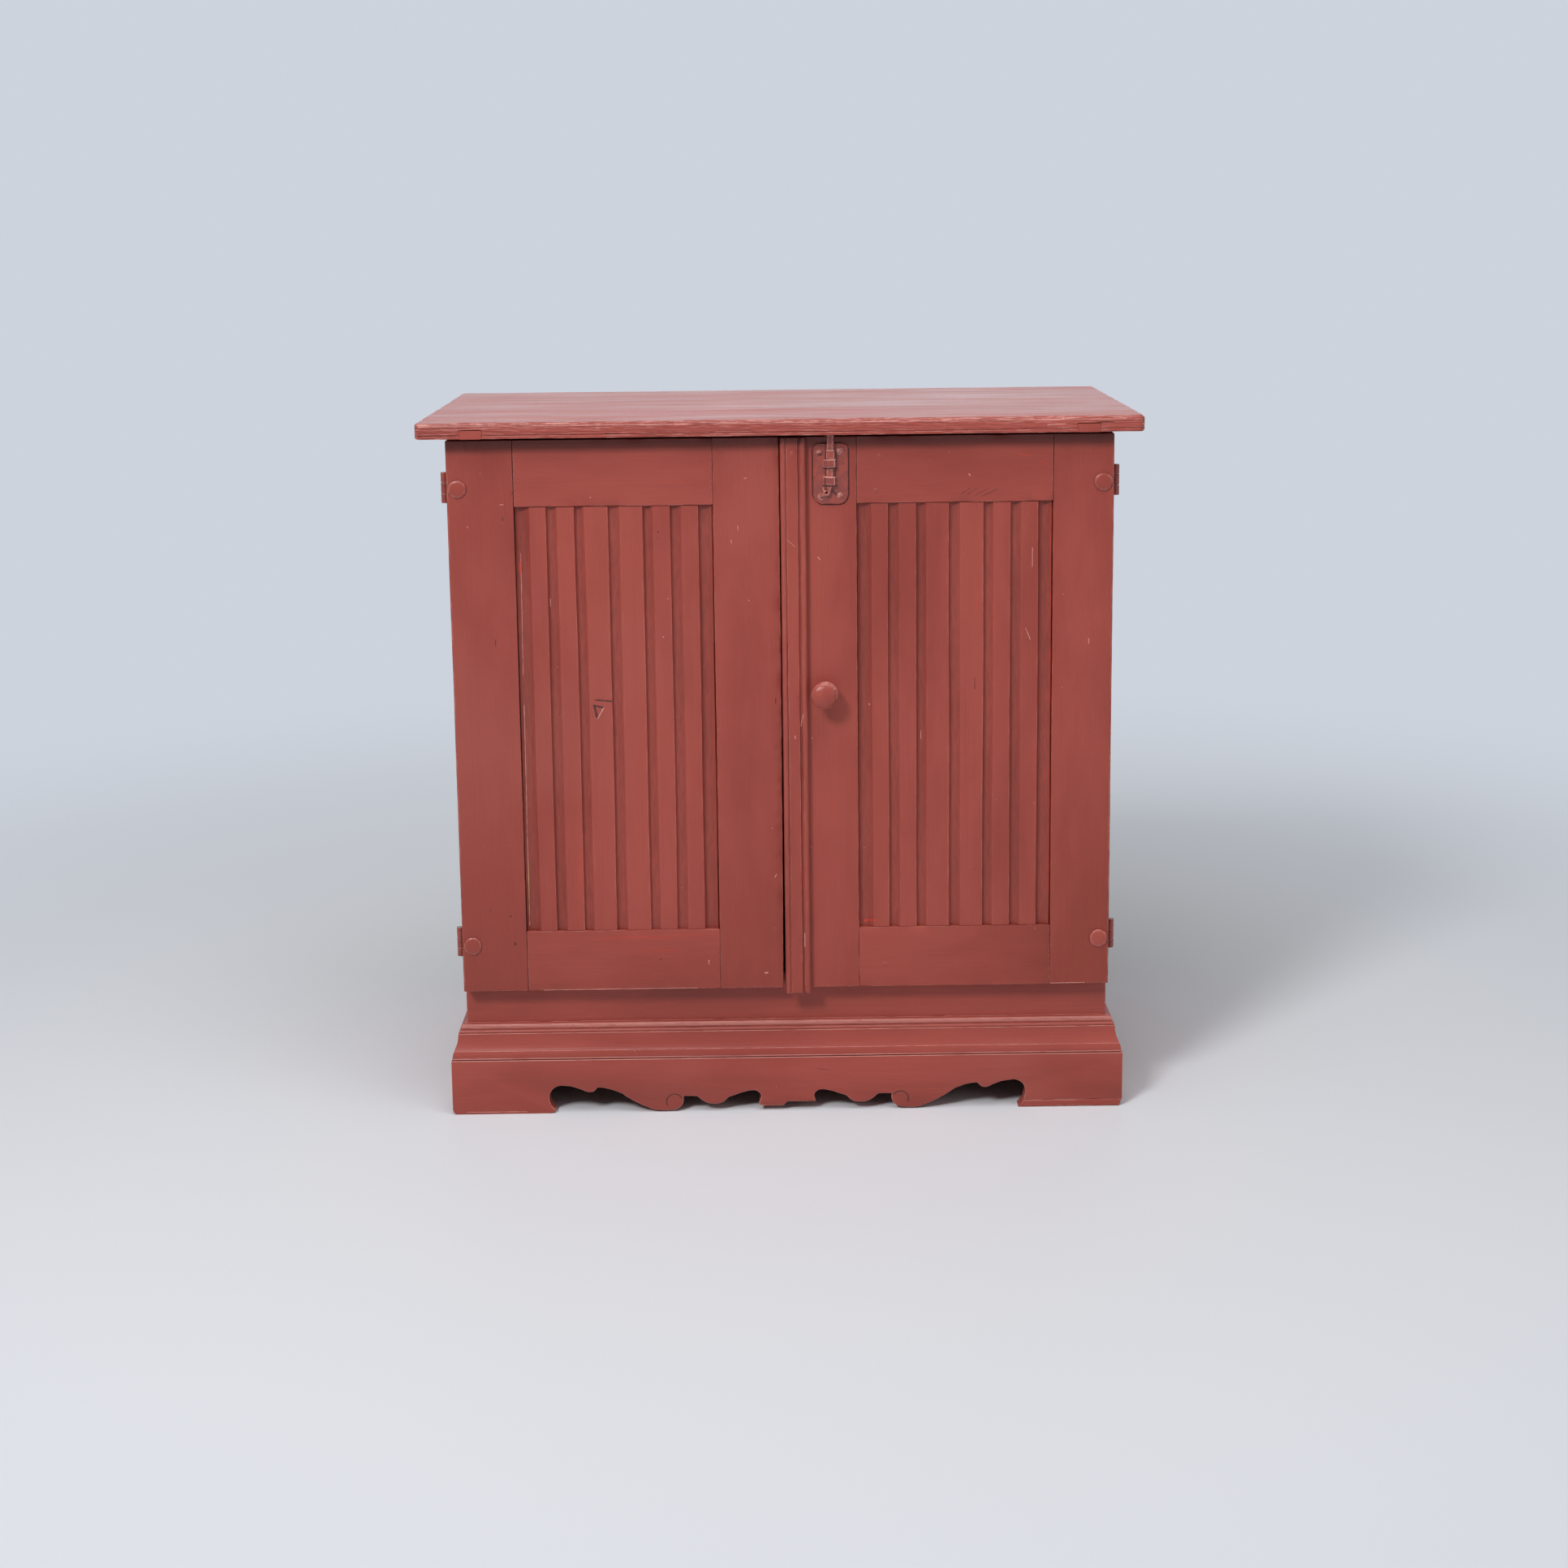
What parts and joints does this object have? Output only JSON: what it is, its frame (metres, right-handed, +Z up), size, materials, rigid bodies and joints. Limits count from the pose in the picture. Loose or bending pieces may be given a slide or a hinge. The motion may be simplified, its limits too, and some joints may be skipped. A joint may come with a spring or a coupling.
{
  "type": "two-door cupboard",
  "caption": "Low painted cupboard with framed doors, fluted panels, a moulded strip, a turned knob, a sliding bolt and a plinth with a scroll-cut apron.",
  "frame": {"origin": "middle of the floor area that the whole part covers, at floor level", "axes": "+Z up, +X to the right of someone facing the doors, -Y out through the doors"},
  "size_m": [0.93, 0.501, 0.932],
  "materials": {
    "painted_wood": "old oil paint, oxide red, worn at the edges",
    "bare_wood": "planed softwood, unpainted and darkened by age",
    "painted_iron": "forged iron under the same red paint"
  },
  "bodies": {
    "case": {"top_board": "painted_wood", "top_cleat_left": "painted_wood", "top_cleat_right": "painted_wood", "side_left": "painted_wood", "side_right": "painted_wood", "front_rail": "painted_wood", "bottom_board": "bare_wood", "shelf": "bare_wood", "shelf_bearer_left": "bare_wood", "shelf_bearer_right": "bare_wood", "glue_block_left": "bare_wood", "glue_block_right": "bare_wood", "back_board_left": "bare_wood", "back_board_middle": "bare_wood", "back_board_right": "bare_wood", "plinth_front": "painted_wood", "foot_shoe": "painted_wood", "plinth_side_left": "painted_wood", "plinth_side_right": "painted_wood", "moulding_front": "painted_wood", "moulding_left": "painted_wood", "moulding_right": "painted_wood", "hinge_case_leaves_left": "painted_iron", "hinge_case_leaves_right": "painted_iron"},
    "left_door": {"left_door_outer_stile": "painted_wood", "left_door_inner_stile": "painted_wood", "left_door_top_rail": "painted_wood", "left_door_bottom_rail": "painted_wood", "left_door_panel": "painted_wood", "left_door_pegs": "bare_wood", "hinge_door_leaves_left": "painted_iron", "hinge_rivets_left": "painted_iron"},
    "right_door": {"right_door_outer_stile": "painted_wood", "right_door_inner_stile": "painted_wood", "right_door_top_rail": "painted_wood", "right_door_bottom_rail": "painted_wood", "right_door_panel": "painted_wood", "right_door_pegs": "bare_wood", "hinge_door_leaves_right": "painted_iron", "hinge_rivets_right": "painted_iron", "cover_strip": "painted_wood", "knob": "painted_wood", "bolt_plate": "painted_iron", "bolt_plate_nails": "painted_iron", "bolt_strap_upper": "painted_iron", "bolt_strap_lower": "painted_iron"},
    "bolt": {"bolt": "painted_iron"}
  },
  "joints": [
    {"name": "left_door_hinge", "type": "hinge", "parent": "case", "child": "left_door", "pos_m": [-0.4342, -0.194, 0.5405], "axis": [0, 0, -1], "range_deg": [0, 200]},
    {"name": "right_door_hinge", "type": "hinge", "parent": "case", "child": "right_door", "pos_m": [0.4342, -0.194, 0.5405], "axis": [0, 0, 1], "range_deg": [0, 200]},
    {"name": "bolt_slide", "type": "slide", "parent": "right_door", "child": "bolt", "axis": [0, 0, 1], "range_m": [0, 0.006]}
  ]
}
